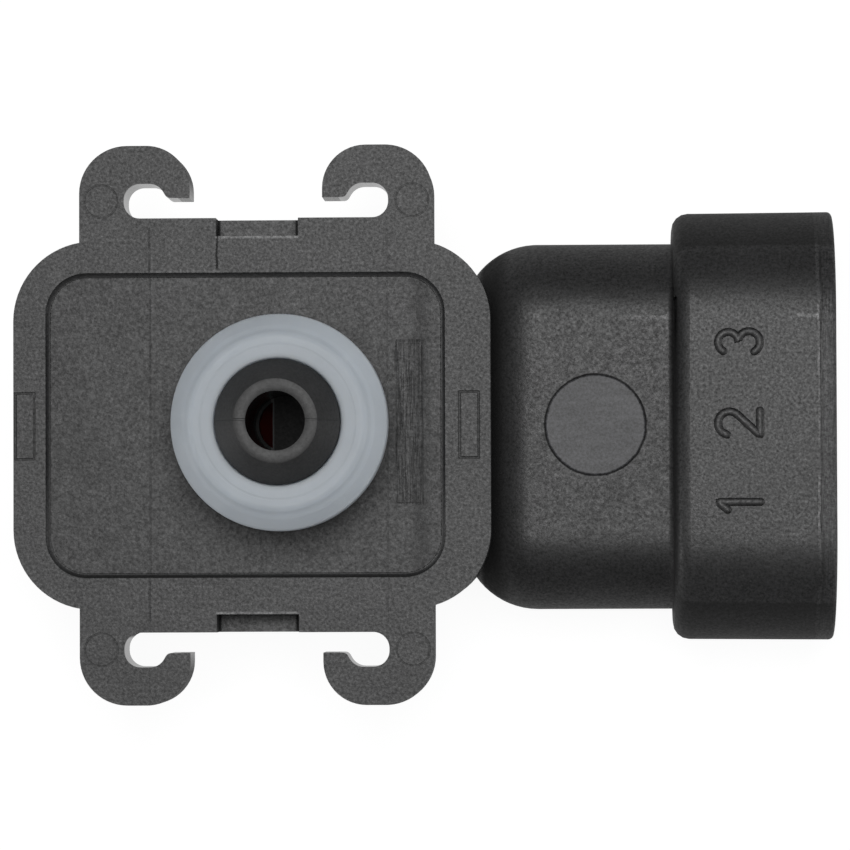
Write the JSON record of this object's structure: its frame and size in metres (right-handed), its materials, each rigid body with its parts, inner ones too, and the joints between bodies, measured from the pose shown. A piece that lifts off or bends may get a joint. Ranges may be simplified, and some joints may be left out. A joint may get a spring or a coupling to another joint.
{
  "type": "manifold absolute pressure sensor",
  "caption": "Engine intake pressure sensor: black moulded case with clip hooks, a sealed round pressure port on its flange and an oval blade connector at its side.",
  "frame": {"origin": "where the pressure port's axis meets the flat back face", "axes": "+Z out of the pressure port, +X towards the connector's mouth, +Y across the flange"},
  "size_m": [0.0661, 0.045, 0.0325],
  "materials": {
    "case_plastic": "fine spark-eroded grain, glass-filled polyester",
    "plate_plastic": "fine spark-eroded grain, glass-filled polyester",
    "seal_silicone": "satin moulded silicone",
    "adhesive": "cured, glossy",
    "board_ceramic": "matt fired alumina",
    "pedestal_glass": "polished",
    "die_silicon": "polished silicon",
    "cell_plastic": "moulded",
    "gasket_rubber": "matt",
    "ribbon_aluminium": "bright",
    "gel": "soft clear red gel",
    "chip_plastic": "moulded",
    "capacitor_ceramic": "fired",
    "resistor_ceramic": "glazed",
    "terminal_metal": "tin plated",
    "solder": "bright"
  },
  "bodies": {
    "root": {"housing": "case_plastic", "port_plate": "plate_plastic", "port_seal": "seal_silicone", "cover_adhesive": "adhesive", "board_adhesive": "adhesive", "terminal_sealant": "adhesive", "circuit_board": "board_ceramic", "die_pedestal": "pedestal_glass", "pressure_die": "die_silicon", "cell_ring": "cell_plastic", "cell_gasket": "gasket_rubber", "bond_ribbons": "ribbon_aluminium", "protective_gel": "gel", "signal_chip": "chip_plastic", "capacitor_1": "capacitor_ceramic", "capacitor_2": "capacitor_ceramic", "capacitor_3": "capacitor_ceramic", "resistor_1": "resistor_ceramic", "resistor_2": "resistor_ceramic", "terminal_1": "terminal_metal", "terminal_2": "terminal_metal", "terminal_3": "terminal_metal", "solder_1": "solder", "solder_2": "solder", "solder_3": "solder"}
  },
  "joints": []
}
